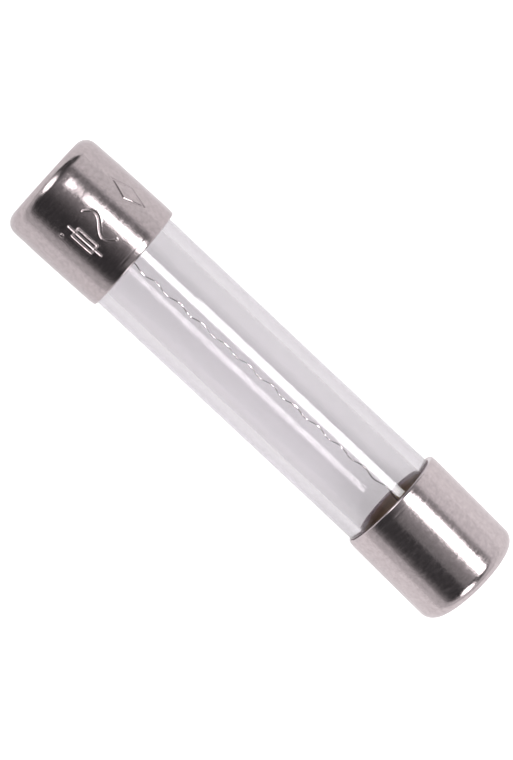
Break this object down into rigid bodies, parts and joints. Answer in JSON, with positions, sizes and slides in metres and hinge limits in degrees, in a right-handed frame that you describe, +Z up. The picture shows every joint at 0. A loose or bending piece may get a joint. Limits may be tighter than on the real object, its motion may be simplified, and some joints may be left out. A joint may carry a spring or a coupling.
{
  "type": "cartridge fuse",
  "caption": "Glass cartridge fuse with nickel-plated end caps and a fine coiled wire element inside a clear tube.",
  "frame": {"origin": "centre of the fuse: on the tube's axis, midway between the outer faces of the two caps", "axes": "+X along the fuse from the stamped left cap to the plain right cap, +Z up when it lies on its side"},
  "size_m": [0.031, 0.0064, 0.0064],
  "materials": {
    "cap_nickel_plate": "satin",
    "clear_glass": "polished",
    "cement": "matte",
    "solder": "satin",
    "element_wire": "polished"
  },
  "bodies": {
    "root": {"end_cap_left": "cap_nickel_plate", "end_cap_right": "cap_nickel_plate", "glass_tube": "clear_glass", "cap_cement_left": "cement", "cap_cement_right": "cement", "solder_left": "solder", "solder_right": "solder", "element_wire": "element_wire"}
  },
  "joints": []
}
